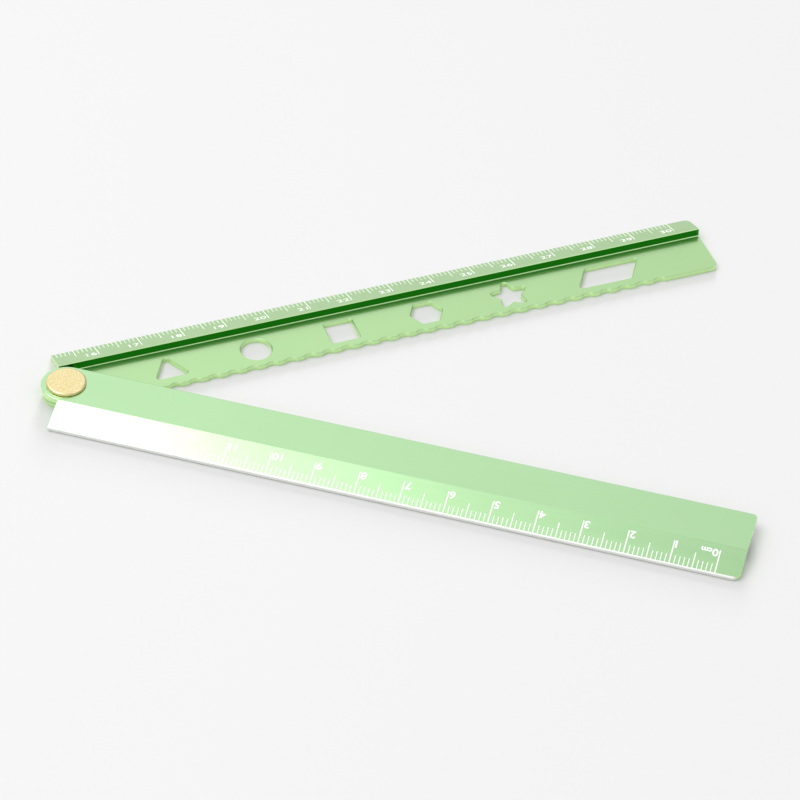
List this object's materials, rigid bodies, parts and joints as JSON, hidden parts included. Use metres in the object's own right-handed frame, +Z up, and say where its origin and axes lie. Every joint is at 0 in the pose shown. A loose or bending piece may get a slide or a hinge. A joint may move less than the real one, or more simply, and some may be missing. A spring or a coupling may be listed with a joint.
{
  "type": "folding ruler",
  "caption": "Flat aluminium folding ruler: a template strip with shaped holes and a wavy edge, and a cover arm, each with a bevelled scale, on one flat pivot under a round cap.",
  "frame": {"origin": "on the pivot's axis, in the plane of the underside that rests on the table", "axes": "+X along the template arm from the pivot to its far end, +Z up out of the table, +Y towards the template arm's scale edge"},
  "size_m": [0.1629, 0.1134, 0.0039],
  "materials": {
    "green_anodised": "satin anodised",
    "gold_cap": "satin",
    "pivot_steel": "turned",
    "slip_plastic": "matt"
  },
  "bodies": {
    "template": {"template_arm": "green_anodised", "pivot_barrel": "pivot_steel", "pivot_screw": "pivot_steel", "friction_washer": "slip_plastic"},
    "cover": {"cover_arm": "green_anodised", "pivot_cap": "gold_cap", "slide_washer": "pivot_steel", "disc_spring": "pivot_steel"}
  },
  "joints": [
    {"name": "pivot_hinge", "type": "hinge", "parent": "template", "child": "cover", "pos_m": [0, 0, 0], "axis": [0, 0, -1], "range_deg": [-36, 144]}
  ]
}
